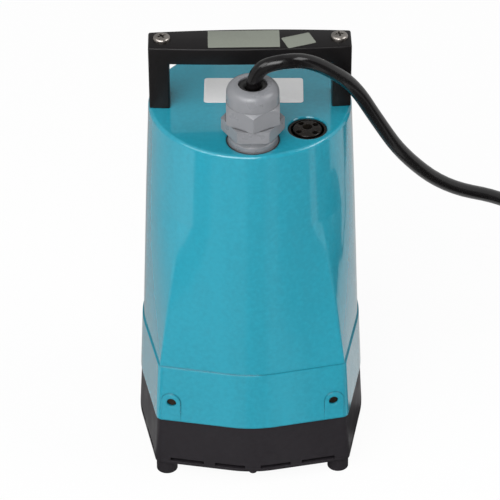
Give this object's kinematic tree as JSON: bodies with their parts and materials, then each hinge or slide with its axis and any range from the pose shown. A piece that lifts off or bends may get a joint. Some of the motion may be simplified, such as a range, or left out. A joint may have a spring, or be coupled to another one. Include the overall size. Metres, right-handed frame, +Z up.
{
  "type": "submersible sump pump",
  "caption": "Small submersible pump with a round-to-square cast motor housing, strainer base, rear outlet elbow, carrying handle, cable gland, wound mains cable and plug.",
  "frame": {"origin": "on the floor under the middle of the pump's outline, cable not counted", "axes": "+Z up along the motor shaft, +X to the right of the pictured side, +Y to the back, where the outlet is"},
  "size_m": [0.4061, 0.1723, 0.2825],
  "materials": {
    "blue_paint": "gloss enamel on cast aluminium",
    "dark_plastic": "satin moulded, dark grey",
    "black_plastic": "satin moulded, black",
    "grey_nylon": "satin moulded, mid grey",
    "switch_plastic": "dull moulded, black-brown",
    "white_plastic": "satin moulded, white",
    "impeller_plastic": "satin glass-filled, black",
    "black_rubber": "dull",
    "cable_rubber": "semi-gloss sheath",
    "plug_rubber": "satin moulded",
    "zinc_steel": "zinc-plated",
    "bearing_steel": "ground and polished",
    "spring_steel": "drawn wire",
    "shaft_steel": "ground",
    "core_steel": "stacked laminations",
    "cast_aluminium": "as cast",
    "brass_screws": "dull",
    "pin_brass": "nickel-plated",
    "copper_wire": "enamelled winding wire",
    "ceramic": "lapped",
    "carbon": "lapped"
  },
  "bodies": {
    "pump_housing": {"motor_housing": "blue_paint", "base_shell": "dark_plastic", "bottom_plate": "dark_plastic", "volute_cover": "dark_plastic", "plate_screws": "zinc_steel", "side_screws": "brass_screws", "bearing_plate_screws": "zinc_steel", "bracket_screws": "zinc_steel", "bearing_plate": "cast_aluminium", "housing_seal": "black_rubber", "lower_bearing_outer": "bearing_steel", "upper_bearing_outer": "bearing_steel", "seal_seat": "ceramic", "stator_core": "core_steel", "stator_windings": "copper_wire", "upper_bracket": "cast_aluminium", "capacitor": "white_plastic", "switch_ring": "switch_plastic", "switch_diaphragm": "black_rubber", "pressure_switch": "switch_plastic", "switch_spring": "spring_steel", "gland_washer": "grey_nylon", "gland_body": "grey_nylon", "gland_nut": "grey_nylon", "gland_seal": "black_rubber", "gland_claw": "grey_nylon", "cable_entry": "cable_rubber", "handle": "black_plastic", "handle_screws": "zinc_steel", "power_cable": "cable_rubber", "cable_coil": "cable_rubber", "plug": "plug_rubber", "plug_pins": "pin_brass"},
    "rotor": {"shaft": "shaft_steel", "impeller": "impeller_plastic", "impeller_nut": "zinc_steel", "lower_bearing_inner": "bearing_steel", "upper_bearing_inner": "bearing_steel", "seal_face": "carbon", "seal_collar": "zinc_steel", "seal_spring": "spring_steel", "rotor_core": "core_steel", "rotor_end_rings": "cast_aluminium"},
    "switch_plunger": {"switch_plunger": "white_plastic"}
  },
  "joints": [
    {"name": "rotor_spin", "type": "hinge", "parent": "pump_housing", "child": "rotor", "pos_m": [0, -0.0191, 0], "axis": [0, 0, 1], "continuous": true},
    {"name": "switch_press", "type": "slide", "parent": "pump_housing", "child": "switch_plunger", "axis": [0, 0, -1], "range_m": [0, 0.002], "stiffness_N_per_m": 900, "deforming": ["switch_spring"]}
  ]
}
